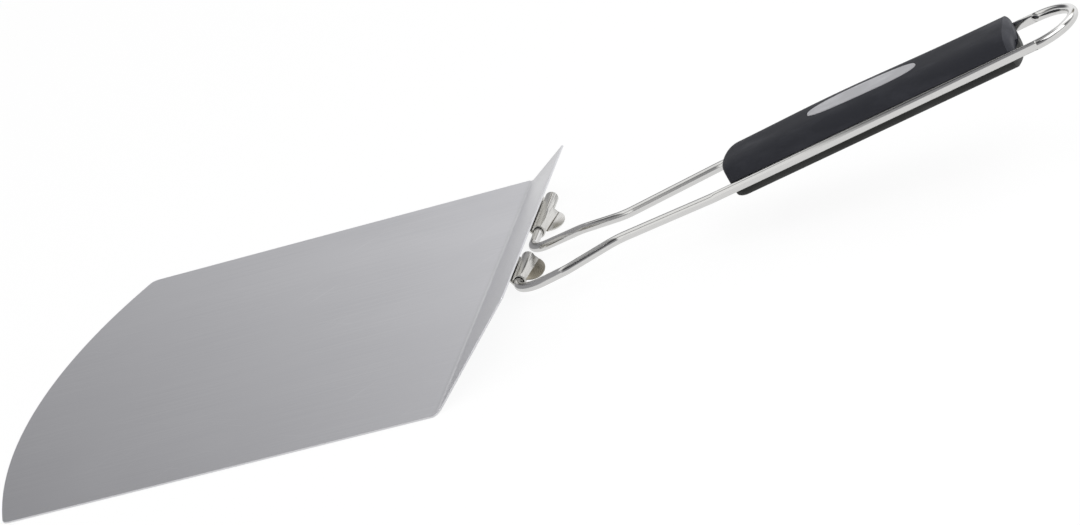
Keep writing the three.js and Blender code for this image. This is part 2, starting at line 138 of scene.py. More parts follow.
# Grip, along the handle from the hinge line and above and below the wire
GRIP_FRONT = 0.149
GRIP_REAR = 0.3345
GRIP_FRONT_BOW = 0.003
GRIP_REAR_BOW = 0.0015
GRIP_RISE = 0.0139
GRIP_DROP = 0.0114
GRIP_SWELL = 0.0016
GRIP_SWELL_AT = 0.220
GRIP_SWELL_REACH = 0.054
GRIP_LOWER_INSET = 0.0011
GRIP_ROUNDING = 0.006
GRIP_END_SHARE = 0.74
REAR_DOME = 0.0026
REAR_EDGE_TURN = math.radians(55)
REAR_FLAT_SHARE = 0.60
GRIP_SEAM = 0.0003
GROOVE_RADIUS = WIRE_DIAMETER / 2 + 0.0003
UPPER_EXPONENT = 3.4
LOWER_EXPONENT = 3.0
SECTION_MIDDLE_SHARE = 0.38
FRONT_FACE_SHARES = (0.03, 0.2, 0.4, 0.55, 0.66)
REAR_FACE_SHARES = (0.45, 0.3, 0.15, 0.03)
EDGE_BLEND = 0.0005

# Inlay and its recess
INLAY_MIDDLE = 0.2405
INLAY_LENGTH = 0.071
INLAY_WIDTH = 0.019
INLAY_DEPTH = 0.0016
INLAY_STAND = 0.00025
INLAY_GAP = 0.0003
INLAY_EXPONENT = 2.6
INLAY_ROUNDING = 0.0004
RECESS_ROUNDING = 0.00002
RECESS_OVERRUN = 0.003

# Screws and their holes
SCREWS = {"grip_screw_front": 0.170, "grip_screw_rear": 0.316}
SCREW_HEAD_RADIUS = 0.003
SCREW_HEAD_HEIGHT = 0.0022
SCREW_CROWN_SHARE = 0.28
SCREW_SHANK_RADIUS = 0.0015
SCREW_BITE = 0.007
SCREW_SINK = 0.0045
SCREW_SEAT = -GRIP_DROP + SCREW_SINK
SCREW_POINT = 0.0008
SCREW_SLOT_WIDTH = 0.001
SCREW_SLOT_LENGTH = 0.0038
SCREW_SLOT_DEPTH = 0.0013
SCREW_GAP = 0.0003
HOLE_OVERRUN = 0.002
THREADS = 9
THREAD_START = 0.0025
THREAD_PITCH = 0.0011
# Points of the head's rim: how far in from its radius and below its seat
SCREW_RIM = ((0, 0.00035), (0.0001, 0.00008), (0.0003, 0))
# Points of a thread, as shares of the shank's radius and of the pitch, and the radii of the screw's point
THREAD_SHARES = ((0.78, 0), (1, 0.45), (0.78, 0.9))
SCREW_POINT_SHARES = (0.75, 0.1)

# How finely the shapes are divided. An outline's first or last point keeps a share of a step off its middle.
ARC_STEPS = 110
ARC_START_SHARE = 0.35
TIP_STEPS = 44
TIP_END_SHARE = 0.4
GRIP_STEPS = 60
GRIP_EDGE_STEPS = 14
HALVINGS = 40
ROUND_SIDES = 48
CORNER_STEP = math.radians(8)
SHEET_BEND_STEP = math.radians(3)
WIRE_BEND_STEP = math.radians(2.5)
NEAR_NOTHING = 1e-6

# Steel finishes: fine and broad grain along each axis, smoothest and roughest, and how scratched
BLADE_FINISH = dict(fine=(1400, 9, 9), broad=(14, 3, 3), smooth=0.27, rough=0.35, scratch=0.22)
BACK_FINISH = dict(fine=(90, 90, 90), broad=(12, 6, 6), smooth=0.24, rough=0.34, scratch=0.2)
BRACKET_FINISH = dict(fine=(60, 900, 900), broad=(40, 60, 60), smooth=0.16, rough=0.28, scratch=0.6)
# Grain of the flaps' painted darkening: painted dark reflection on the near flap, painted shade in the far
# crease
PAINTED_DARK_FINISH = dict(fine=(60, 700, 700), broad=(40, 60, 60), smooth=0.22, rough=0.34, scratch=0.3)
SCREW_FINISH = dict(fine=(500, 500, 500), broad=(90, 90, 90), smooth=0.22, rough=0.38, scratch=0.3)

# Plastic finishes
GRIP_FINISH = dict(smooth=0.56, rough=0.68, grain=2200, relief=0.3, shine=0.2)
# The domed rear end's copy of the plastic, with a colour made paler as painted light
GRIP_END_FINISH = dict(smooth=0.48, rough=0.60, grain=2200, relief=0.15, shine=0.25)
INLAY_FINISH = dict(smooth=0.36, rough=0.48, grain=1500, relief=0.12, shine=0.4)

# Colours that follow no setting, and how far others are toned
BLADE_EDGE_COLOUR = (0.56, 0.56, 0.58)
FLAP_EDGE_COLOUR = (0.60, 0.60, 0.58)
# Near black: painted shade on the knuckles' cut ends and sheared edges
PAINTED_SHADE_CUT_EDGE_COLOUR = (0.055, 0.053, 0.05)
ZINC_COLOUR = (0.62, 0.62, 0.63)
# Painted shade: how much darker the sheet's underside and the flange's back are
PAINTED_SHADE_BACK_TONE = 0.6
BRACKET_DULL_TONE = 0.86
# How much duller the dull lines of the flaps' painted darkening are
PAINTED_DARK_DULL_TONE = 0.88
ZINC_DULL_TONE = 0.85
# Painted light: how much paler the grip's domed rear end is than its sides
PAINTED_LIGHT_END_TONE = 1.45

# Floor: how far it lies under the blade, how bright it looks to the camera and in the metal, and how much
# of what they see is that glow
FLOOR_DROP = 0.0002
FLOOR_GLOW = 1.06
FLOOR_IN_METAL = 0.86
FLOOR_GLOW_SHARE = 0.85

# Each lamp: place, point aimed at, width, height, share of the key lamp's power
LAMPS = {
    "key_softbox": ((-1.1, -1.9, 2.7), (0, -0.2, 0), 3.2, 2.6, 1.0),
    "side_softbox": ((1.9, -1.6, 2.9), (0, -0.2, 0), 2.6, 2.6, 0.5),
}

# The room's own light: level at each height of the sky
SKY_LEVELS = ((0.0, 0.96), (0.20, 0.90), (0.38, 0.56), (0.55, 0.20), (0.88, 0.16), (1.0, 0.50))
# Round panels: azimuth, elevation, angle at which it is full, angle at which it ends, colour
PANELS = (
    (-8, 20, 14, 44, (0.99, 0.99, 1.0)),
    (50, 36, 16, 38, (0.09, 0.09, 0.10)),
    (-13, 27, 6, 13, (0.20, 0.185, 0.15)),
    (200, 45, 20, 42, (0.05, 0.05, 0.055)),
    (181, 13, 11, 26, (0.27, 0.27, 0.28)),
)
# Long panel overhead, square to the handle: its axis, place along it, half widths, and the gap across it
STRIP_AXIS = (0, 0.982, -0.188)
STRIP_PLACE = 0.33
STRIP_WIDTHS = (0.12, 0.22)
STRIP_END = (0.50, 0.72)
STRIP_GAP = -0.50
STRIP_GAP_WIDTHS = (0.05, 0.11)
STRIP_COLOUR = (0.95, 0.95, 0.94)

# Camera
CAMERA_PLACE = (-1.8507, -0.7383, 0.7186)
CAMERA_RIGHT = (0.15702, -0.93100, -0.32952)
CAMERA_BACK = (-0.89816, -0.27336, 0.34436)
CAMERA_LENS = 113
CAMERA_REACH = 60

COLOUR_RANGE = {"subtype": "COLOR", "min": 0, "max": 1}


class PeelSteel(bpy.types.PropertyGroup):
    """Finish of the blade and its brackets"""

    blade_light: FloatVectorProperty(
        name="Blade Light",
        description="Colour of the blade's bright brush lines",
        default=(0.77, 0.77, 0.79),
        **COLOUR_RANGE,
    )
    blade_dark: FloatVectorProperty(
        name="Blade Dark",
        description="Colour of the blade's dull brush lines",
        default=(0.70, 0.70, 0.725),
        **COLOUR_RANGE,
    )
    bracket_colour: FloatVectorProperty(
        name="Bracket Colour",
        description="Colour of the bracket sheet",
        default=(0.74, 0.73, 0.70),
        **COLOUR_RANGE,
    )
    edge_round: FloatProperty(
        name="Edge Rounding",
        description="Radius of the sheared edges of the sheets",
        default=0.0002,
        min=0.00005,
        max=0.0004,
        unit="LENGTH",
    )


class PeelHandle(bpy.types.PropertyGroup):
    """Sizes and colours of the wire handle and its grip"""

    wire_diameter: FloatProperty(
        name="Wire Diameter",
        description="Thickness of the handle wire",
        default=WIRE_DIAMETER,
        min=0.004,
        max=0.0065,
        unit="LENGTH",
    )
    wire_sides: IntProperty(
        name="Wire Sides",
        description="Facets round the wire",
        default=40,
        min=12,
        max=96,
    )
    wire_colour: FloatVectorProperty(
        name="Wire Colour",
        description="Colour of the bright wire",
        default=(0.75, 0.745, 0.735),
        **COLOUR_RANGE,
    )
    upper_colour: FloatVectorProperty(
        name="Upper Grip Colour",
        description="Colour of the grip's upper shell",
        default=(0.031, 0.0325, 0.0405),
        **COLOUR_RANGE,
    )
    lower_colour: FloatVectorProperty(
        name="Lower Grip Colour",
        description="Colour of the grip's lower shell",
        default=(0.030, 0.031, 0.030),
        **COLOUR_RANGE,
    )
    inlay_colour: FloatVectorProperty(
        name="Inlay Colour",
        description="Colour of the oval inlay",
        default=(0.52, 0.52, 0.545),
        **COLOUR_RANGE,
    )


class PeelStage(bpy.types.PropertyGroup):
    """Floor and light"""

    floor_colour: FloatVectorProperty(
        name="Floor Colour",
        description="Colour of the plain floor",
        default=(0.95, 0.95, 0.95),
        **COLOUR_RANGE,
    )
    floor_size: FloatProperty(
        name="Floor Size",
        description="Length of the floor's sides",
        default=30,
        min=4,
        max=100,
        unit="LENGTH",
    )
    key_power: FloatProperty(
        name="Key Power",
        description="Power of the large soft lamp",
        default=40,
        min=0,
        max=500,
        unit="POWER",
    )


# Node helpers

FLOAT = "NodeSocketFloat"
INTEGER = "NodeSocketInt"
VECTOR = "NodeSocketVector"
COLOUR = "NodeSocketColor"
GEOMETRY = "NodeSocketGeometry"
MATERIAL = "NodeSocketMaterial"


def feed(tree, node, inputs):
    """Links the inputs of a node, by name or number, or sets them where a value is plain."""
    for key, value in inputs.items():
        if isinstance(value, bpy.types.NodeSocket):
            tree.links.new(value, node.inputs[key])
        else:
            node.inputs[key].default_value = value


def add_node(tree, kind, inputs=None, **settings):
    node = tree.nodes.new(kind)
    for key, value in settings.items():
        setattr(node, key, value)
    feed(tree, node, inputs or {})
    return node


def maths(tree, operation, *values):
    return add_node(tree, "ShaderNodeMath", dict(enumerate(values)), operation=operation).outputs[0]


def combine(tree, *values):
    return add_node(tree, "ShaderNodeCombineXYZ", dict(enumerate(values))).outputs[0]


def shared_group(name, kind, inputs, outputs, build):
    """The node group of this name, built on its first use. Each use sets all of its inputs."""
    if name in bpy.data.node_groups:
        return bpy.data.node_groups[name]
    tree = bpy.data.node_groups.new(name, kind)
    for in_out, sockets in (("INPUT", inputs), ("OUTPUT", outputs)):
        for label, socket_type in sockets.items():
            tree.interface.new_socket(label, in_out=in_out, socket_type=socket_type)
    build(tree, add_node(tree, "NodeGroupInput").outputs, add_node(tree, "NodeGroupOutput"))
    return tree


# Geometry node trees

BEND_WORDS = ("Start", "Radius", "Angle")


def geometry_tree(name, inputs, build):
    geometry = {"Geometry": GEOMETRY}
    return shared_group(name, "GeometryNodeTree", geometry | inputs, geometry, build)


def bend_tree():
    """Rolls a flat sheet round one bend: the sheet runs along Y, and the bend turns about an X axis."""

    def build(tree, given, result):
        length = maths(tree, "MULTIPLY", given["Radius"], given["Angle"])
        run = maths(tree, "SUBTRACT", given["Distance"], given["Start"])
        run = maths(tree, "MINIMUM", maths(tree, "MAXIMUM", run, 0.0), length)
        here = add_node(tree, "GeometryNodeInputPosition").outputs[0]
        back = {0: here, 1: combine(tree, 0.0, run, 0.0)}
        rolled = {
            "Vector": add_node(tree, "ShaderNodeVectorMath", back, operation="SUBTRACT").outputs[0],
            "Center": combine(tree, 0.0, given["Start"], given["Radius"]),
            "Angle": maths(tree, "DIVIDE", run, given["Radius"]),
        }
        place = add_node(tree, "ShaderNodeVectorRotate", rolled, rotation_type="X_AXIS").outputs[0]
        placed = {"Geometry": given["Geometry"], "Position": place}
        feed(tree, result, {"Geometry": add_node(tree, "GeometryNodeSetPosition", placed).outputs[0]})

    return geometry_tree("Sheet Bend", dict.fromkeys(("Distance", *BEND_WORDS), FLOAT), build)


def fold_tree(bends):
    """Folds a flat sheet round its bends, the last one first."""

    def build(tree, given, result):
        distance = add_node(tree, "GeometryNodeInputNamedAttribute", {"Name": "distance"}, data_type="FLOAT")
        geometry = given["Geometry"]
        for k in range(bends, 0, -1):
            values = {word: given[f"Bend {k} {word}"] for word in BEND_WORDS}
            values.update({"Geometry": geometry, "Distance": distance.outputs["Attribute"]})
            geometry = add_node(tree, "GeometryNodeGroup", values, node_tree=bend_tree()).outputs["Geometry"]
        finish_tree(tree, geometry, given["Material"], result)

    labels = [f"Bend {k} {word}" for k in range(1, bends + 1) for word in BEND_WORDS]
    inputs = {"Material": MATERIAL} | dict.fromkeys(labels, FLOAT)
    return geometry_tree(f"Fold Sheet {bends}", inputs, build)


def wire_tree():
    """Sweeps a round wire along a path."""

    def build(tree, given, result):
        circle = {"Resolution": given["Sides"], "Radius": maths(tree, "DIVIDE", given["Diameter"], 2.0)}
        section = add_node(tree, "GeometryNodeCurvePrimitiveCircle", circle).outputs["Curve"]
        sweep = {"Curve": given["Geometry"], "Profile Curve": section, "Fill Caps": True}
        swept = add_node(tree, "GeometryNodeCurveToMesh", sweep).outputs["Mesh"]
        smooth = add_node(tree, "GeometryNodeSetShadeSmooth", {"Geometry": swept}).outputs["Geometry"]
        finish_tree(tree, smooth, given["Material"], result)

    inputs = {"Diameter": FLOAT, "Sides": INTEGER, "Material": MATERIAL}
    return geometry_tree("Sweep Wire", inputs, build)


def finish_tree(tree, geometry, material, result):
    """Ends a tree with plain geometry in its material."""
    real = add_node(tree, "GeometryNodeRealizeInstances", {"Geometry": geometry}).outputs["Geometry"]
    painted = add_node(tree, "GeometryNodeSetMaterial", {"Geometry": real, "Material": material})
    feed(tree, result, {"Geometry": painted.outputs["Geometry"]})


def run_tree(obj, tree, values):
    """Runs a tree on obj with these named values, and gives its result as a plain mesh object."""
    modifier = obj.modifiers.new(tree.name, "NODES")
    modifier.node_group = tree
    for item in tree.interface.items_tree:
        if item.in_out == "INPUT" and item.name in values:
            modifier[item.identifier] = values[item.name]
    return settle(obj)


# Mesh helpers


def settle(obj):
    """Turns what the modifiers make into a plain mesh object of the same name."""
    bpy.context.view_layer.update()
    graph = bpy.context.evaluated_depsgraph_get()
    mesh = bpy.data.meshes.new_from_object(
        obj.evaluated_get(graph), preserve_all_data_layers=True, depsgraph=graph
    )
    name = obj.name
    bpy.data.objects.remove(obj)
    mesh.name = name
    return linked(bpy.data.objects.new(name, mesh))


def linked(obj):
    bpy.context.scene.collection.objects.link(obj)
    return obj


def closed_mesh(name, points, faces):
    """A mesh object of a closed body, with its faces turned outwards."""
    mesh = bpy.data.meshes.new(name)
    mesh.from_pydata([tuple(p) for p in points], [], faces)
    body = bmesh.new()
    body.from_mesh(mesh)
    bmesh.ops.recalc_face_normals(body, faces=body.faces)
    body.to_mesh(mesh)
    body.free()
    return linked(bpy.data.objects.new(name, mesh))


def smooth_by_angle(obj, angle):
    obj.data.shade_smooth()
    obj.data.set_sharp_from_angle(angle=angle)


def add_bevel(obj, label, width, segments, angle):
    """A bevel on the edges sharper than angle."""
    bevel = obj.modifiers.new(label, "BEVEL")
    bevel.width = width
    bevel.segments = segments
    bevel.limit_method = "ANGLE"
    bevel.angle_limit = angle
    return bevel


def round_edges(obj, radius, material):
    """Rounds the sharp edges of a sheet, and paints the rounding."""
    obj.data.materials.append(material)
    bevel = add_bevel(obj, "Sheared Edges", radius, 2, math.radians(50))
    bevel.material = len(obj.data.materials) - 1
    obj.data.shade_smooth()
    weighted = obj.modifiers.new("Flat Faces Stay Flat", "WEIGHTED_NORMAL")
    weighted.keep_sharp = True
    return settle(obj)


def boolean(obj, other, operation):
    modifier = obj.modifiers.new(operation.title(), "BOOLEAN")
    modifier.operation = operation
    modifier.object = other
    modifier.solver = "EXACT"
    modifier.material_mode = "TRANSFER"
    result = settle(obj)
    bpy.data.objects.remove(other)
    return result


def drop(name):
    """Removes an earlier build of a piece."""
    if name in bpy.data.objects:
        bpy.data.objects.remove(bpy.data.objects[name])


def hand_over(obj, body, slot, *nodes):
    """Lets a finished piece ride on its body in place of its solids. The finish slot is not used."""
    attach(obj, body)
    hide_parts(*nodes)


# Sheet metal


def rounded_path(corners, step):
    """Points along a path of straights with rounded corners."""
    points = [Vector(corners[0][:2])]
    for k in range(1, len(corners) - 1):
        before, here, after = (Vector(corners[j][:2]) for j in (k - 1, k, k + 1))
        into = (here - before).normalized()
        out = (after - here).normalized()
        turn = math.atan2(into.x * out.y - into.y * out.x, into.dot(out))
        radius = corners[k][2]
        if radius == 0 or abs(turn) < NEAR_NOTHING:
            points.append(here)
            continue
        start = here - into * radius * math.tan(abs(turn) / 2)
        centre = start + Vector((-into.y, into.x)) * math.copysign(radius, turn)
        steps = max(1, math.ceil(abs(turn) / step))
        for i in range(steps + 1):
            points.append(centre + Matrix.Rotation(turn * i / steps, 2) @ (start - centre))
    points.append(Vector(corners[-1][:2]))
    clean = [points[0]]
    for point in points[1:]:
        if (point - clean[-1]).length > NEAR_NOTHING:
            clean.append(point)
    return clean


def corner_arc(before, here, after, radius):
    path = rounded_path([(*before, 0), (*here, radius), (*after, 0)], CORNER_STEP)
    return [(p.x, p.y) for p in path[1:-1]]


def bend_stops(bends):
    """Distances along the sheet at which each bend needs an edge."""
    stops = []
    for start, radius, angle in bends:
        steps = max(1, math.ceil(abs(angle) / SHEET_BEND_STEP))
        stops += [start + radius * angle * k / steps for k in range(steps + 1)]
    return stops


def folded_sheet(name, outline, bends, thickness, place, material, second=None, painted=None):
    """A sheet cut to an outline of half widths along its length, folded by the sheet tree, and placed.

    A second material goes on the faces that painted picks, by their side (0 below, 2 above) and distance.
    """
    first, last = outline[0][1], outline[-1][1]
    inner = [s for s in bend_stops(bends) if first < s < last]
    closest = thickness / 50
    distances = [first]
    for s in sorted([s for _, s in outline] + inner):
        if s - distances[-1] > closest:
            distances.append(s)
    halves = np.interp(distances, [s for _, s in outline], [w for w, _ in outline])
    points = []
    for half, s in zip(halves, distances):
        for side, face in ((-1, -1), (1, -1), (1, 1), (-1, 1)):
            points.append((side * half, s, face * thickness / 2))
    faces = [(0, 1, 2, 3), tuple(len(points) - 4 + k for k in range(4))]
    for r in range(len(distances) - 1):
        for k in range(4):
            a, b = 4 * r + k, 4 * r + (k + 1) % 4
            faces.append((a, b, b + 4, a + 4))
    sheet = closed_mesh(name, points, faces)
    distance = sheet.data.attributes.new("distance", "FLOAT", "POINT")
    distance.data.foreach_set("value", np.repeat(distances, 4).astype(np.float32))
    values = {"Material": material}
    for k, (start, radius, angle) in enumerate(bends, 1):
        labels = (f"Bend {k} {word}" for word in BEND_WORDS)
        values.update(zip(labels, (start, radius, angle)))
    sheet = run_tree(sheet, fold_tree(len(bends)), values)
    sheet.data.attributes.remove(sheet.data.attributes["distance"])
    if second is not None:
        sheet.data.materials.append(second)
        for k, face in enumerate(sheet.data.polygons[2:]):
            if painted(k % 4, distances[k // 4]):
                face.material_index = 1
    sheet.data.transform(place)
    return sheet


def blade_outline(flat_length, pattern_length):
    """Half widths from the middle of the bowed front edge to the free edge of the flange."""
    half = BLADE_WIDTH / 2
    radius = (half**2 + BLADE_BULGE**2) / (2 * BLADE_BULGE)
    sweep = math.asin(half / radius)
    arc = []
    for k in range(ARC_STEPS):
        angle = sweep * (k + ARC_START_SHARE) / (ARC_STEPS + ARC_START_SHARE)
        arc.append((radius * math.sin(angle), radius * (1 - math.cos(angle))))
    front = corner_arc(arc[-1], (half, BLADE_BULGE), (half, flat_length), FRONT_CORNER_RADIUS)
    clear_of_corner = front[0][0] - FRONT_CORNER_RADIUS / 10
    arc = [point for point in arc if point[0] < clear_of_corner]
    edge = (half - FLANGE_INSET, pattern_length)
    rear = corner_arc((half, flat_length), edge, (0, pattern_length), FLANGE_CORNER_RADIUS)
    outline = arc + front + [(half, flat_length)] + rear
    kept = [outline[0]]
    for point in outline[1:]:
        if point[1] > kept[-1][1]:
            kept.append(point)
    return kept


def flange_place():
    """Turns across, up the slope and off the back of the flange into the peel's own axes."""
    c, s = math.cos(FLANGE_ANGLE), math.sin(FLANGE_ANGLE)
    return Matrix(((1, 0, 0, 0), (0, -c, -s, FOLD_Y), (0, s, -c, BLADE_MID), (0, 0, 0, 1)))


def hinge_on_flange():
    """The hinge line's place up the slope and off the back of the flange."""
    back, up = FOLD_Y - HINGE_Y, HINGE_Z - BLADE_MID
    c, s = math.cos(FLANGE_ANGLE), math.sin(FLANGE_ANGLE)
    return Vector((back * c + up * s, back * s - up * c))


def knuckle_sheet(name, start, length, material):
    """The foot on the back of the flange, the throat below it and the roll round the pin."""
    hinge = hinge_on_flange()
    towards = Vector((math.sin(THROAT_ANGLE), math.cos(THROAT_ANGLE)))
    rise = (hinge.y - FOOT_OFF - THROAT_RADIUS) * towards.y + THROAT_RADIUS - ROLL_RADIUS
    foot_end = hinge.x + rise / towards.x
    bend_end = Vector((foot_end, FOOT_OFF + THROAT_RADIUS)) - towards * THROAT_RADIUS
    roll_start = hinge - towards * ROLL_RADIUS
    throat = FOOT_TOP - foot_end
    roll = throat + THROAT_RADIUS * THROAT_ANGLE + (roll_start - bend_end).length
    bends = [(throat, -THROAT_RADIUS, -THROAT_ANGLE), (roll, -ROLL_RADIUS, -ROLL_ANGLE)]
    end = roll + ROLL_RADIUS * ROLL_ANGLE
    half = length / 2
    outline = corner_arc((0, 0), (half, 0), (half, end), FOOT_CORNER_RADIUS) + [(half, end)]
    turned = Matrix(((1, 0, 0, start + half), (0, -1, 0, FOOT_TOP), (0, 0, -1, FOOT_OFF), (0, 0, 0, 1)))
    return folded_sheet(name, outline, bends, BRACKET_THICKNESS, flange_place() @ turned, material)


def flap_sheet(name, start, material, painted_dark_steel, tilt, crease, width, lean, painted_dark_reach):
    """The flap that leaves the top of a knuckle straight on and leans at a crease, up to a rounded tip."""
    reach = CREASE_RADIUS * math.tan(abs(lean) / 2)
    arc = CREASE_RADIUS * abs(lean)
    bends = [(crease - reach, math.copysign(CREASE_RADIUS, lean), lean)]
    end = width - 2 * reach + arc
    half = FLAP_LENGTH / 2
    outline = [(half, 0)]
    for k in range(TIP_STEPS):
        angle = math.pi / 2 * k / (TIP_STEPS - TIP_END_SHARE)
        outline.append((half * math.cos(angle), end - FLAP_ROUNDING * (1 - math.sin(angle))))
    hinge = hinge_on_flange()
    out = Vector((0, -math.sin(tilt), math.cos(tilt)))
    pin = Vector((0, -math.cos(tilt), -math.sin(tilt)))
    middle = Vector((start + FLAP_SETBACK + half, hinge.x, hinge.y)) - pin * ROLL_RADIUS
    turned = Matrix((Vector((1, 0, 0)), out, pin)).transposed().to_4x4()
    place = flange_place() @ Matrix.Translation(middle) @ turned @ Matrix.Rotation(FLAP_SKEW, 4, "Z")
    # Painted darkening from within the crease: painted dark reflection on the near flap, painted shade along
    # the far flap's crease
    painted_dark = crease - reach + arc * PAINTED_DARK_START_SHARE

    def painted(side, distance):
        return painted_dark <= distance < painted_dark + painted_dark_reach

    return folded_sheet(name, outline, bends, FLAP_THICKNESS, place, material, painted_dark_steel, painted)


# Grip


def arm_half(along):
    """Half of the spacing between the two arms of the wire."""
    return np.interp(along, (SHOULDER[1], LOOP_START[1]), (SHOULDER[0], LOOP_START[0]))


def grip_height(along, upper):
    """Height of a shell's outline above or below the wire, with the swell of the upper one."""
    if not upper:
        return GRIP_DROP
    swell = math.exp(-(((along - GRIP_SWELL_AT) / GRIP_SWELL_REACH) ** 2))
    return GRIP_RISE - GRIP_SWELL + GRIP_SWELL * swell


def smooth_least(a, b, blend):
    """The smaller of two distances, with the corner between them rounded."""
    return np.minimum(a, b) - np.maximum(blend - np.abs(a - b), 0) ** 2 / (4 * blend)


def shell_angles():
    """Directions round a shell's section, closest together where the wire's grooves cut it."""
    parts = ((-20, 5, 40), (5, 50, 34), (50, 130, 30), (130, 175, 34), (175, 200, 40), (200, 340, 26))
    spans = [np.linspace(a, b, n, endpoint=False) for a, b, n in parts]
    return np.radians(np.concatenate(spans))


def shell_ring(along, share, bow, upper):
    """One section of a shell: its outline, cut by the seam and by the grooves of both arms.

    Rays from its middle find the outline by halving, and are then cut short by the seam and the grooves.
    """
    arm = arm_half(along)
    half = (arm - (0 if upper else GRIP_LOWER_INSET)) * share
    height = grip_height(along, upper) * share
    exponent = UPPER_EXPONENT if upper else LOWER_EXPONENT
    middle = SECTION_MIDDLE_SHARE * height
    angles = shell_angles()
    c, s = np.cos(angles), np.sin(angles)
    low, high = np.zeros_like(angles), np.full_like(angles, 2 * half)
    for _ in range(HALVINGS):
        reach = (low + high) / 2
        x, h = np.abs(reach * c) / half, np.abs(middle + reach * s) / height
        inside = x**exponent + h**exponent < 1
        low, high = np.where(inside, reach, low), np.where(inside, high, reach)
    far = 2 * half
    seam = (middle - GRIP_SEAM / 2) / np.maximum(-s, NEAR_NOTHING)
    seam = np.where(s < -NEAR_NOTHING, seam, far)
    across, down = np.sign(c) * arm, -middle
    along_ray = across * c + down * s
    square = along_ray**2 - (across**2 + down**2 - GROOVE_RADIUS**2)
    groove = np.where(square > 0, along_ray - np.sqrt(np.maximum(square, 0)), far)
    reach = smooth_least(smooth_least(low, groove, EDGE_BLEND), seam, EDGE_BLEND)
    x, h = reach * c, middle + reach * s
    bowed = bow * (1 - (x / half) ** 2)
    side = 1 if upper else -1
    return np.stack([side * x, -(along + bowed), side * h], axis=1)


def end_rounding(part):
    """How far in from the front end, and how much of the section is there, part of the way round its edge."""
    turn = math.pi / 2 * part
    return 1 - math.cos(turn), 1 - (1 - GRIP_END_SHARE) * (1 - math.sin(turn))


def rear_dome(part):
    """The same for the domed rear end, which starts at a crisp edge."""
    turn = REAR_EDGE_TURN * part
    along = (1 - math.cos(turn)) / (1 - math.cos(REAR_EDGE_TURN))
    return along, 1 - (1 - REAR_FLAT_SHARE) * (1 - math.sin(turn) / math.sin(REAR_EDGE_TURN))


def grip_shell(name, upper):
    """One shell of the grip, from the middle of its bowed front face to the middle of its domed rear face."""
    rings = []
    for share in FRONT_FACE_SHARES:
        rings.append(shell_ring(GRIP_FRONT, share, -GRIP_FRONT_BOW, upper))
    for k in range(GRIP_EDGE_STEPS + 1):
        along, share = end_rounding(k / GRIP_EDGE_STEPS)
        bow = -GRIP_FRONT_BOW * (1 - along)
        rings.append(shell_ring(GRIP_FRONT + along * GRIP_ROUNDING, share, bow, upper))
    front, rear = GRIP_FRONT + GRIP_ROUNDING, GRIP_REAR - REAR_DOME
    for k in range(1, GRIP_STEPS):
        rings.append(shell_ring(front + (rear - front) * k / GRIP_STEPS, 1, 0, upper))
    for k in range(GRIP_EDGE_STEPS + 1):
        along, share = rear_dome(1 - k / GRIP_EDGE_STEPS)
        bow = GRIP_REAR_BOW * (1 - along)
        rings.append(shell_ring(GRIP_REAR - along * REAR_DOME, share, bow, upper))
    for share in REAR_FACE_SHARES:
        rings.append(shell_ring(GRIP_REAR, share, GRIP_REAR_BOW, upper))
    return lofted(name, rings)


def lofted(name, rings):
    """A closed body through rings of points."""
    count = len(rings[0])
    faces = []
    for r in range(len(rings) - 1):
        for k in range(count):
            a, b = r * count + k, r * count + (k + 1) % count
            faces.append((a, b, b + count, a + count))
    last = (len(rings) - 1) * count
    faces.append(tuple(range(count)))
    faces.append(tuple(last + k for k in range(count)))
    return closed_mesh(name, np.concatenate(rings), faces)


def crown(x, along):
    """Height of the upper shell's surface above the wire."""
    share = min(1, abs(x) / arm_half(along))
    return grip_height(along, True) * (1 - share**UPPER_EXPONENT) ** (1 / UPPER_EXPONENT)


def blunt(part):
    """Turns the cosine or sine of an ellipse into that of a blunter oval."""
    return math.copysign(abs(part) ** (2 / INLAY_EXPONENT), part)


def oval_plate(name, grow, top, bottom, rounding):
    """An oval plate that follows the crown of the grip, from bottom to top above its surface."""
    half_width, half_length = INLAY_WIDTH / 2 + grow, INLAY_LENGTH / 2 + grow
    count, inner, edge_steps, core = 128, 12, 6, 0.5
    profile = [((k + 1) / (inner + 1) * (1 - rounding / half_width), top) for k in range(inner)]
    for k in range(edge_steps + 1):
        turn = math.pi / 2 * k / edge_steps
        inset = rounding * (1 - math.sin(turn)) / half_width
        profile.append((1 - inset, top - rounding * (1 - math.cos(turn))))
    profile.append((1, bottom))
    profile += [(share, bottom) for share in (0.8, core, 0.2)]
    rings = []
    for share, lift in profile:
        reach = (half_length - half_width * (1 - max(share, core))) * min(1, share / core)
        ring = []
        for k in range(count):
            turn = 2 * math.pi * k / count
            x = half_width * share * blunt(math.cos(turn))
            along = INLAY_MIDDLE + reach * blunt(math.sin(turn))
            ring.append((x, -along, crown(x, along) + lift))
        rings.append(np.array(ring))
    return lofted(name, rings)


# Screws


def round_body(name, profile, along=0):
    """A round body on an upright axis, from its profile of radius and height."""
    turns = [2 * math.pi * k / ROUND_SIDES for k in range(ROUND_SIDES)]
    rings = [np.array([(r * math.cos(t), r * math.sin(t) - along, h) for t in turns]) for r, h in profile]
    return lofted(name, rings)


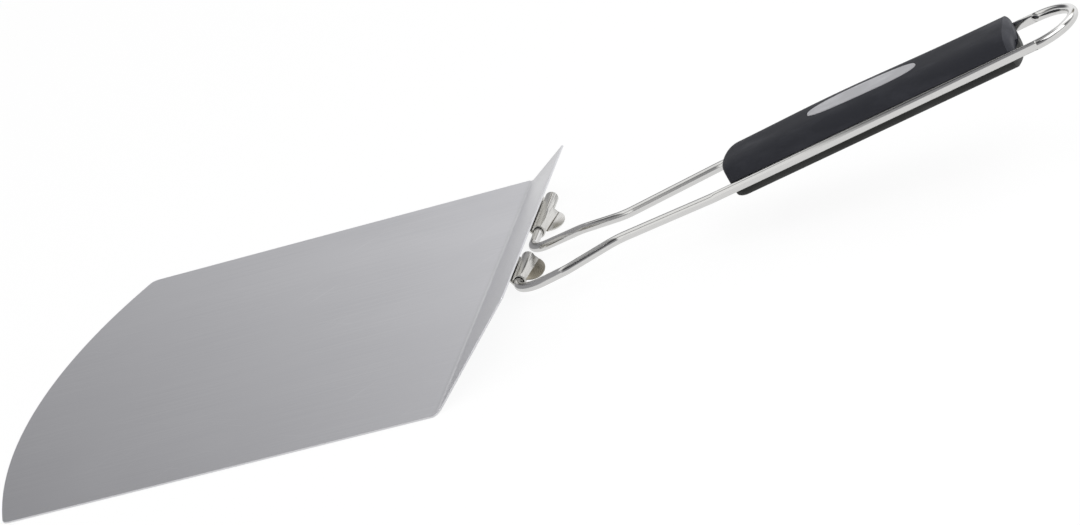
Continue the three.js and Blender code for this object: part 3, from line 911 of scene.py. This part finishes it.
def screw_profile(head):
    """Radius and height from the middle of the crowned head, over its rim and the threads, to the point."""
    rim, shank = SCREW_HEAD_RADIUS, SCREW_SHANK_RADIUS
    profile = []
    crown_steps, flat = 8, 0.03
    for k in range(crown_steps + 1):
        turn = math.pi / 2 * k / crown_steps
        radius = rim * (flat + (1 - flat) * math.sin(turn))
        profile.append((radius, head + rim * SCREW_CROWN_SHARE * (1 - math.cos(turn))))
    profile += [(rim - inset, SCREW_SEAT - below) for inset, below in SCREW_RIM]
    profile.append((shank, SCREW_SEAT))
    for k in range(THREADS):
        base = SCREW_SEAT + THREAD_START + k * THREAD_PITCH
        profile += [(shank * share, base + THREAD_PITCH * place) for share, place in THREAD_SHARES]
    point_start, tip = (shank * share for share in SCREW_POINT_SHARES)
    return profile + [(point_start, SCREW_BITE - SCREW_POINT), (tip, SCREW_BITE)]


def screw_body(name, along, material):
    """A pan-head screw with a cross recess, standing head down at its place in the handle."""
    head = SCREW_SEAT - SCREW_HEAD_HEIGHT
    body = round_body(name, screw_profile(head))
    body.data.materials.append(material)
    for angle in (0, math.pi / 2):
        slot = bpy.data.meshes.new("slot")
        cutter = bmesh.new()
        bmesh.ops.create_cube(cutter, size=1)
        cutter.to_mesh(slot)
        cutter.free()
        slot.transform(Matrix.Diagonal((SCREW_SLOT_WIDTH, SCREW_SLOT_LENGTH, 2 * SCREW_SLOT_DEPTH, 1)))
        slot.transform(Matrix.Translation((0, 0, head)) @ Matrix.Rotation(angle, 4, "Z"))
        body = boolean(body, linked(bpy.data.objects.new("slot", slot)), "DIFFERENCE")
    smooth_by_angle(body, math.radians(35))
    body.data.transform(HANDLE_PLACE @ Matrix.Translation((0, -along, 0)))
    return body


def counterbore(along):
    """The hole that a screw's head and shank need in the lower shell."""
    seat = SCREW_SEAT + SCREW_GAP
    wide, narrow = SCREW_HEAD_RADIUS + SCREW_GAP, SCREW_SHANK_RADIUS + SCREW_GAP
    profile = [(wide, -GRIP_DROP - HOLE_OVERRUN), (wide, seat), (narrow, seat), (narrow, HOLE_OVERRUN)]
    return round_body("counterbore", profile, along)


# Shared effects


def noise(tree, vector, size=1.0, detail=2.0, rough=0.5, stretch=(1.0, 1.0, 1.0)):
    """Noise on a vector that is first stretched along each axis."""
    scaled = add_node(tree, "ShaderNodeVectorMath", {0: vector, 1: stretch}, operation="MULTIPLY")
    inputs = {"Vector": scaled.outputs[0], "Scale": size, "Detail": detail, "Roughness": rough}
    return add_node(tree, "ShaderNodeTexNoise", inputs).outputs["Fac"]


def map_range(tree, value, low, high, to_low=0.0, to_high=1.0, kind="LINEAR"):
    """Carries value from low and high to another range, and holds it at the ends."""
    inputs = dict(enumerate((value, low, high, to_low, to_high)))
    return add_node(tree, "ShaderNodeMapRange", inputs, interpolation_type=kind).outputs[0]


def blend_colour(tree, share, first, second):
    return add_node(tree, "ShaderNodeMix", {0: share, 6: first, 7: second}, data_type="RGBA").outputs[2]


# What an effect gives to a material
FINISH = {"Color": COLOUR, "Roughness": FLOAT, "Height": FLOAT}
MASK = {"Mask": FLOAT}


def effect_group(name, inputs, outputs, build):
    return shared_group(name, "ShaderNodeTree", {"Vector": VECTOR} | inputs, outputs, build)


def brushing_group():
    """Fine parallel brush lines, with broad dull patches."""

    def build(tree, given, result):
        fine = noise(tree, given["Vector"], detail=3.0, rough=0.65, stretch=given["Fine Scale"])
        broad = noise(tree, given["Vector"], stretch=given["Broad Scale"])
        lines = map_range(tree, fine, 0.3, 0.7)
        patches = map_range(tree, broad, 0.3, 0.7)
        tone = maths(tree, "MULTIPLY_ADD", lines, 0.7, maths(tree, "MULTIPLY", patches, 0.3))
        colour = blend_colour(tree, tone, given["Dull"], given["Bright"])
        rough = map_range(tree, tone, 0.0, 1.0, given["Rough"], given["Smooth"])
        feed(tree, result, {"Color": colour, "Roughness": rough, "Height": lines})

    inputs = {
        "Fine Scale": VECTOR,
        "Broad Scale": VECTOR,
        "Bright": COLOUR,
        "Dull": COLOUR,
        "Smooth": FLOAT,
        "Rough": FLOAT,
    }
    return effect_group("Brushed Metal", inputs, FINISH, build)


# Two sets of scratches: how close they lie, how short they are, and their turn
SCRATCHES = ((900.0, 14.0, 0.5), (700.0, 11.0, -0.9))


def scratches_group():
    """Thin straight scratches in two directions, as a mask."""

    def build(tree, given, result):
        masks = []
        for across, length, angle in SCRATCHES:
            turn = {"Vector": given["Vector"], "Angle": angle}
            turned = add_node(tree, "ShaderNodeVectorRotate", turn, rotation_type="Z_AXIS").outputs[0]
            lines = noise(tree, turned, detail=0.0, stretch=(across, length, length))
            masks.append(map_range(tree, lines, 0.74, 0.80))
        here = map_range(tree, noise(tree, given["Vector"], size=22.0), 0.45, 0.65)
        mask = maths(tree, "MULTIPLY", maths(tree, "MAXIMUM", *masks), here)
        feed(tree, result, {"Mask": maths(tree, "MULTIPLY", mask, given["Amount"])})

    return effect_group("Hairline Scratches", {"Amount": FLOAT}, MASK, build)


def handling_group():
    """Soft smudges and fingerprints' haze, as a mask."""

    def build(tree, given, result):
        fine_size = maths(tree, "MULTIPLY", given["Size"], 6.0)
        large = noise(tree, given["Vector"], size=given["Size"], detail=4.0, rough=0.6)
        small = noise(tree, given["Vector"], size=fine_size, detail=3.0, stretch=(1.3, 0.8, 1.0))
        feed(tree, result, {"Mask": maths(tree, "MULTIPLY", map_range(tree, large, 0.45, 0.75), small)})

    return effect_group("Handling Marks", {"Size": FLOAT}, MASK, build)


def moulded_group():
    """Spark-eroded grain of a moulded plastic, with worn lighter patches."""

    def build(tree, given, result):
        grain = noise(tree, given["Vector"], size=given["Grain"], rough=0.6)
        worn = noise(tree, given["Vector"], size=60.0, detail=4.0, rough=0.6, stretch=(1.0, 0.4, 1.0))
        wear = map_range(tree, worn, 0.5, 0.75)
        colour = blend_colour(tree, wear, given["Colour"], given["Worn Colour"])
        rough = map_range(tree, wear, 0.0, 1.0, given["Rough"], given["Smooth"])
        feed(tree, result, {"Color": colour, "Roughness": rough, "Height": grain})

    inputs = {"Grain": FLOAT, "Colour": COLOUR, "Worn Colour": COLOUR, "Smooth": FLOAT, "Rough": FLOAT}
    return effect_group("Moulded Plastic", inputs, FINISH, build)


# Materials


def toned(colour, share):
    """A colour made darker or paler."""
    return tuple(min(1, c * share) for c in colour)


def rgba(colour, share=1):
    """A toned colour in the form that sockets take."""
    return (*toned(colour, share), 1)


def new_material(name):
    """A fresh material, with its tree, its shader and object coordinates."""
    if name in bpy.data.materials:
        bpy.data.materials.remove(bpy.data.materials[name])
    material = bpy.data.materials.new(name)
    material.use_nodes = True
    tree = material.node_tree
    place = add_node(tree, "ShaderNodeTexCoord").outputs["Object"]
    return material, tree, tree.nodes["Principled BSDF"], place


def use_group(tree, group, **values):
    inputs = {label.replace("_", " "): value for label, value in values.items()}
    return add_node(tree, "ShaderNodeGroup", inputs, node_tree=group).outputs


def bump(tree, shader, height, strength, distance):
    inputs = {"Height": height, "Strength": strength, "Distance": distance}
    feed(tree, shader, {"Normal": add_node(tree, "ShaderNodeBump", inputs).outputs[0]})


def steel_material(name, bright, dull, fine, broad, smooth, rough, scratch):
    """Steel with its grain, handling marks and scratches."""
    material, tree, shader, place = new_material(name)
    brushed = use_group(
        tree,
        brushing_group(),
        Vector=place,
        Fine_Scale=fine,
        Broad_Scale=broad,
        Bright=rgba(bright),
        Dull=rgba(dull),
        Smooth=smooth,
        Rough=rough,
    )
    marks = use_group(tree, handling_group(), Vector=place, Size=9.0)["Mask"]
    scratched = use_group(tree, scratches_group(), Vector=place, Amount=scratch)["Mask"]
    colour = blend_colour(tree, scratched, brushed["Color"], rgba(bright, 1.25))
    hazy = maths(tree, "MULTIPLY_ADD", marks, 0.10, brushed["Roughness"])
    feed(tree, shader, {"Base Color": colour, "Metallic": 1, "Roughness": hazy})
    height = maths(tree, "SUBTRACT", brushed["Height"], scratched)
    bump(tree, shader, height, strength=0.06, distance=0.00005)
    return material


def edge_material(name, colour):
    """Sheared edge of a sheet."""
    material, tree, shader, place = new_material(name)
    nicks = noise(tree, place, size=900.0, detail=3.0, rough=0.6)
    nicked = blend_colour(tree, nicks, rgba(colour, 0.8), rgba(colour))
    rough = map_range(tree, nicks, 0.3, 0.7, 0.32, 0.50)
    feed(tree, shader, {"Base Color": nicked, "Metallic": 1, "Roughness": rough})
    return material


def wire_material(colour):
    """Bright wire with a faint ripple from drawing."""
    material, tree, shader, place = new_material("Bright Wire")
    marks = use_group(tree, handling_group(), Vector=place, Size=30.0)["Mask"]
    scratched = use_group(tree, scratches_group(), Vector=place, Amount=0.2)["Mask"]
    scuffed = blend_colour(tree, scratched, rgba(colour), rgba(colour, 0.82))
    rough = maths(tree, "MULTIPLY_ADD", scratched, 0.2, maths(tree, "MULTIPLY_ADD", marks, 0.10, 0.11))
    feed(tree, shader, {"Base Color": scuffed, "Metallic": 1, "Roughness": rough})
    ripple = noise(tree, place, size=220.0, stretch=(1.0, 0.3, 1.0))
    bump(tree, shader, ripple, strength=0.05, distance=0.0002)
    return material


def plastic_material(name, colour, smooth, rough, grain, relief, shine):
    """Grained plastic with worn and handled patches."""
    material, tree, shader, place = new_material(name)
    worn = tuple(min(1, c * 1.3 + 0.004) for c in colour)
    moulded = use_group(
        tree,
        moulded_group(),
        Vector=place,
        Grain=grain,
        Colour=rgba(colour),
        Worn_Colour=rgba(worn),
        Smooth=smooth,
        Rough=rough,
    )
    marks = use_group(tree, handling_group(), Vector=place, Size=25.0)["Mask"]
    handled = maths(tree, "MULTIPLY_ADD", marks, -0.15, moulded["Roughness"])
    feed(tree, shader, {"Base Color": moulded["Color"], "Roughness": handled, "Specular IOR Level": shine})
    bump(tree, shader, moulded["Height"], strength=relief, distance=0.0001)
    return material


# Stage


def lay_floor(stage):
    """A plain floor that keeps the shadow but looks evenly bright to the camera and in the metal."""
    drop("studio_floor")
    half = stage.floor_size / 2
    corners = [(-half, -half), (half, -half), (half, half), (-half, half)]
    mesh = bpy.data.meshes.new("studio_floor")
    mesh.from_pydata([(x, y, -FLOOR_DROP) for x, y in corners], [], [(0, 1, 2, 3)])
    floor = linked(bpy.data.objects.new("studio_floor", mesh))
    material, tree, shader, _ = new_material("Studio Floor")
    feed(tree, shader, {"Base Color": rgba(stage.floor_colour), "Roughness": 0.9, "Specular IOR Level": 0})
    rays = add_node(tree, "ShaderNodeLightPath").outputs
    seen = maths(tree, "MAXIMUM", rays["Is Camera Ray"], rays["Is Glossy Ray"])
    seen = maths(tree, "MAXIMUM", seen, rays["Is Transmission Ray"])
    level = maths(tree, "MULTIPLY_ADD", rays["Is Camera Ray"], FLOOR_GLOW - FLOOR_IN_METAL, FLOOR_IN_METAL)
    glow = add_node(tree, "ShaderNodeEmission", {"Strength": level}).outputs[0]
    share = maths(tree, "MULTIPLY", seen, FLOOR_GLOW_SHARE)
    mixed = add_node(tree, "ShaderNodeMixShader", {0: share, 1: shader.outputs[0], 2: glow}).outputs[0]
    feed(tree, tree.nodes["Material Output"], {"Surface": mixed})
    mesh.materials.append(material)


def hang_lamps(stage):
    """The two large soft lamps."""
    for name, (place, aim, width, height, share) in LAMPS.items():
        drop(name)
        lamp = bpy.data.lights.new(name, "AREA")
        lamp.shape = "RECTANGLE"
        lamp.size, lamp.size_y = width, height
        lamp.energy = stage.key_power * share
        obj = linked(bpy.data.objects.new(name, lamp))
        obj.location = place
        obj.rotation_euler = (Vector(aim) - Vector(place)).to_track_quat("-Z", "Y").to_euler()


def dot(tree, vector, axis):
    inputs = {0: vector, 1: axis}
    return add_node(tree, "ShaderNodeVectorMath", inputs, operation="DOT_PRODUCT").outputs["Value"]


def unit_vector(azimuth, elevation):
    """The direction at these degrees, with the azimuth from +X towards +Y."""
    a, e = math.radians(azimuth), math.radians(elevation)
    return (math.cos(a) * math.cos(e), math.sin(a) * math.cos(e), math.sin(e))


def band(tree, value, middle, inner, outer):
    """One within inner of the middle, falling to nothing at outer."""
    off = maths(tree, "ABSOLUTE", maths(tree, "SUBTRACT", value, middle))
    return map_range(tree, off, inner, outer, 1.0, 0.0, kind="SMOOTHSTEP")


def paint_sky(scene):
    """The room's own light, with its panels and the strip overhead."""
    world = bpy.data.worlds.new("Studio")
    scene.world = world
    world.use_nodes = True
    tree = world.node_tree
    direction = add_node(tree, "ShaderNodeTexCoord").outputs["Generated"]
    axes = add_node(tree, "ShaderNodeSeparateXYZ", {0: direction}).outputs
    ramp = add_node(tree, "ShaderNodeValToRGB", {0: axes["Z"]})
    elements = ramp.color_ramp.elements
    while len(elements) < len(SKY_LEVELS):
        elements.new(0.5)
    for element, (spot, level) in zip(elements, SKY_LEVELS):
        element.position = spot
        element.color = (level, level, level, 1)
    colour = ramp.outputs["Color"]
    for azimuth, elevation, inner, outer, shade in PANELS:
        near = dot(tree, direction, unit_vector(azimuth, elevation))
        low, high = math.cos(math.radians(outer)), math.cos(math.radians(inner))
        mask = map_range(tree, near, low, high, kind="SMOOTHSTEP")
        colour = blend_colour(tree, mask, colour, rgba(shade))
    strip = band(tree, dot(tree, direction, STRIP_AXIS), STRIP_PLACE, *STRIP_WIDTHS)
    faded = map_range(tree, axes["X"], *STRIP_END, 1.0, 0.0, kind="SMOOTHSTEP")
    strip = maths(tree, "MULTIPLY", strip, faded)
    gap = band(tree, axes["X"], STRIP_GAP, *STRIP_GAP_WIDTHS)
    strip = maths(tree, "MULTIPLY", strip, maths(tree, "SUBTRACT", 1.0, gap))
    colour = blend_colour(tree, strip, colour, rgba(STRIP_COLOUR))
    feed(tree, tree.nodes["Background"], {"Color": colour, "Strength": 1})


def place_camera(scene):
    """A long lens at the photograph's viewing angle."""
    drop("camera")
    camera = bpy.data.cameras.new("camera")
    camera.lens = CAMERA_LENS
    camera.clip_end = CAMERA_REACH
    obj = linked(bpy.data.objects.new("camera", camera))
    right = Vector(CAMERA_RIGHT).normalized()
    back = Vector(CAMERA_BACK).normalized()
    turned = Matrix((right, back.cross(right), back)).transposed().to_4x4()
    obj.matrix_world = Matrix.Translation(CAMERA_PLACE) @ turned
    scene.camera = obj


# Operators


class PEEL_OT_blade(bpy.types.Operator):
    """Fold the blade and its flange from one sheet"""

    bl_idname = "peel.blade"
    bl_label = "Blade"

    def execute(self, context):
        steel = context.scene.peel_steel
        drop("blade_sheet")
        light, dark = tuple(steel.blade_light), tuple(steel.blade_dark)
        body = steel_material("Brushed Blade Steel", light, dark, **BLADE_FINISH)
        # The underside and the flange's back: unbrushed grain, and a darker colour that is painted shade
        painted_shade_back_colours = toned(light, PAINTED_SHADE_BACK_TONE), toned(dark, PAINTED_SHADE_BACK_TONE)
        back = steel_material("Painted Shade Back", *painted_shade_back_colours, **BACK_FINISH)
        edge = edge_material("Sheared Blade Edge", BLADE_EDGE_COLOUR)
        flat = BLADE_BULGE + BLADE_SIDE - FOLD_REACH
        pattern = flat + FOLD_RADIUS * FLANGE_ANGLE + FLANGE_SLANT - FOLD_REACH
        front = Matrix.Translation((0, BLADE_SIDE / 2 + BLADE_BULGE, BLADE_MID))
        place = front @ Matrix.Rotation(math.pi, 4, "Z")
        bends = [(flat, FOLD_RADIUS, FLANGE_ANGLE)]
        outline = blade_outline(flat, pattern)

        def underside(side, distance):
            return side == 0

        sheet = folded_sheet("blade_sheet", outline, bends, BLADE_THICKNESS, place, body, back, underside)
        sheet = round_edges(sheet, steel.edge_round, edge)
        hand_over(sheet, "blade", "blade_steel", "blade")
        return {"FINISHED"}


class PEEL_OT_brackets(bpy.types.Operator):
    """Roll the two hinge brackets, each with its flap"""

    bl_idname = "peel.brackets"
    bl_label = "Hinge Brackets"

    def execute(self, context):
        steel = context.scene.peel_steel
        colour = tuple(steel.bracket_colour)
        body = steel_material("Bracket Steel", colour, toned(colour, BRACKET_DULL_TONE), **BRACKET_FINISH)
        edge = edge_material("Sheared Flap Edge", FLAP_EDGE_COLOUR)
        # The knuckles' rounded edges and cut ends are painted near black, as painted shade
        cut = edge_material("Painted Shade Cut Edge", PAINTED_SHADE_CUT_EDGE_COLOUR)
        for node, (start, length, painted_dark_tone) in BRACKETS.items():
            name = node + "_sheet"
            drop(name)
            knuckle = knuckle_sheet(name, start, length, body)
            knuckle = round_edges(knuckle, steel.edge_round, cut)
            # The flap's painted darkening: painted dark reflection on the near flap, painted shade in the far
            # flap's crease
            title = "Painted Darkening of " + node.replace("_", " ").title()
            painted_dark = tuple(c * tone for c, tone in zip(colour, painted_dark_tone))
            painted_dark_steel = steel_material(title, painted_dark, toned(painted_dark, PAINTED_DARK_DULL_TONE), **PAINTED_DARK_FINISH)
            flap = flap_sheet(name + "_flap", start, body, painted_dark_steel, **FLAPS[node])
            flap = round_edges(flap, steel.edge_round, edge)
            bracket = boolean(knuckle, flap, "UNION")
            hand_over(bracket, "blade", "bracket_steel", node)
        return {"FINISHED"}


class PEEL_OT_wire(bpy.types.Operator):
    """Bend the wire of the handle"""

    bl_idname = "peel.wire"
    bl_label = "Wire Handle"

    def execute(self, context):
        handle = context.scene.peel_handle
        drop("handle_wire")
        path = rounded_path(WIRE_CORNERS, WIRE_BEND_STEP)
        curve = bpy.data.curves.new("handle_wire", "CURVE")
        curve.dimensions = "3D"
        curve.twist_mode = "Z_UP"
        spline = curve.splines.new("POLY")
        spline.points.add(len(path) - 1)
        for point, spot in zip(path, spline.points):
            spot.co = (*(HANDLE_PLACE @ Vector((point.x, -point.y, 0))), 1)
        wire = linked(bpy.data.objects.new("handle_wire", curve))
        material = wire_material(tuple(handle.wire_colour))
        values = {"Diameter": handle.wire_diameter, "Sides": handle.wire_sides, "Material": material}
        wire = run_tree(wire, wire_tree(), values)
        add_bevel(wire, "Rounded Pin Ends", PIN_END_ROUNDING, 3, math.radians(60))
        wire = settle(wire)
        hand_over(wire, "handle", "chromed_wire", "wire_handle")
        return {"FINISHED"}


class PEEL_OT_grip(bpy.types.Operator):
    """Mould the two shells of the grip, with the recess for the inlay"""

    bl_idname = "peel.grip"
    bl_label = "Grip Shells"

    def execute(self, context):
        handle = context.scene.peel_handle
        for node, upper, colour in (
            ("grip_upper_shell", True, handle.upper_colour),
            ("grip_lower_shell", False, handle.lower_colour),
        ):
            name = node.replace("grip_", "") + "_moulding"
            drop(name)
            title = name.replace("_", " ").title()
            shell = grip_shell(name, upper)
            # The domed rear end gets a paler copy of the plastic, as painted light
            painted_light_end_colour = toned(colour, PAINTED_LIGHT_END_TONE)
            shell.data.materials.append(plastic_material(title, tuple(colour), **GRIP_FINISH))
            shell.data.materials.append(plastic_material(title + " End", painted_light_end_colour, **GRIP_END_FINISH))
            for face in shell.data.polygons:
                face.material_index = int(-face.center.y > GRIP_REAR - REAR_DOME)
            if upper:
                recess = oval_plate("recess", INLAY_GAP, RECESS_OVERRUN, -INLAY_DEPTH, RECESS_ROUNDING)
                shell = boolean(shell, recess, "DIFFERENCE")
            else:
                for along in SCREWS.values():
                    shell = boolean(shell, counterbore(along), "DIFFERENCE")
            smooth_by_angle(shell, math.radians(25))
            shell.data.transform(HANDLE_PLACE)
            hand_over(shell, "handle", "grip_plastic", node)
        return {"FINISHED"}


class PEEL_OT_inlay(bpy.types.Operator):
    """Fit the oval inlay into the top of the grip"""

    bl_idname = "peel.inlay"
    bl_label = "Inlay"

    def execute(self, context):
        handle = context.scene.peel_handle
        drop("oval_inlay")
        inlay = oval_plate("oval_inlay", 0, INLAY_STAND, INLAY_GAP - INLAY_DEPTH, INLAY_ROUNDING)
        material = plastic_material("Grey Inlay", tuple(handle.inlay_colour), **INLAY_FINISH)
        inlay.data.materials.append(material)
        smooth_by_angle(inlay, math.radians(40))
        inlay.data.transform(HANDLE_PLACE)
        hand_over(inlay, "handle", "inlay_plastic", "grip_inlay")
        return {"FINISHED"}


class PEEL_OT_screws(bpy.types.Operator):
    """Turn the two screws of the grip"""

    bl_idname = "peel.screws"
    bl_label = "Grip Screws"

    def execute(self, context):
        dull = toned(ZINC_COLOUR, ZINC_DULL_TONE)
        material = steel_material("Plated Screw", ZINC_COLOUR, dull, **SCREW_FINISH)
        for node, along in SCREWS.items():
            name = node.replace("grip_", "") + "_turned"
            drop(name)
            screw = screw_body(name, along, material)
            hand_over(screw, "handle", "screw_steel", node)
        return {"FINISHED"}


class PEEL_OT_stage(bpy.types.Operator):
    """Lay the floor, light the peel and place the camera"""

    bl_idname = "peel.stage"
    bl_label = "Stage"

    def execute(self, context):
        stage = context.scene.peel_stage
        lay_floor(stage)
        hang_lamps(stage)
        paint_sky(context.scene)
        place_camera(context.scene)
        context.scene.view_settings.view_transform = "Standard"
        return {"FINISHED"}


class PEEL_PT_panel(bpy.types.Panel):
    """Settings and pieces of the peel"""

    bl_idname = "PEEL_PT_panel"
    bl_label = "Folding Pizza Peel"
    bl_space_type = "VIEW_3D"
    bl_region_type = "UI"
    bl_category = "Peel"

    def draw(self, context):
        scene = context.scene
        for title, group in (
            ("Steel", scene.peel_steel),
            ("Handle", scene.peel_handle),
            ("Stage", scene.peel_stage),
        ):
            box = self.layout.box()
            box.label(text=title)
            for key in group.__annotations__:
                box.prop(group, key)
        for operator in OPERATORS:
            self.layout.operator(operator.bl_idname)


GROUPS = {"peel_steel": PeelSteel, "peel_handle": PeelHandle, "peel_stage": PeelStage}
OPERATORS = (
    PEEL_OT_blade,
    PEEL_OT_brackets,
    PEEL_OT_wire,
    PEEL_OT_grip,
    PEEL_OT_inlay,
    PEEL_OT_screws,
    PEEL_OT_stage,
)


def register():
    for made in (*GROUPS.values(), *OPERATORS, PEEL_PT_panel):
        bpy.utils.register_class(made)
    for name, group in GROUPS.items():
        setattr(bpy.types.Scene, name, PointerProperty(type=group))


def unregister():
    for name in GROUPS:
        delattr(bpy.types.Scene, name)
    for made in reversed((*GROUPS.values(), *OPERATORS, PEEL_PT_panel)):
        bpy.utils.unregister_class(made)


def main():
    register()
    for operator in OPERATORS:
        group, name = operator.bl_idname.split(".")
        getattr(getattr(bpy.ops, group), name)()


if __name__ == "__main__":
    main()
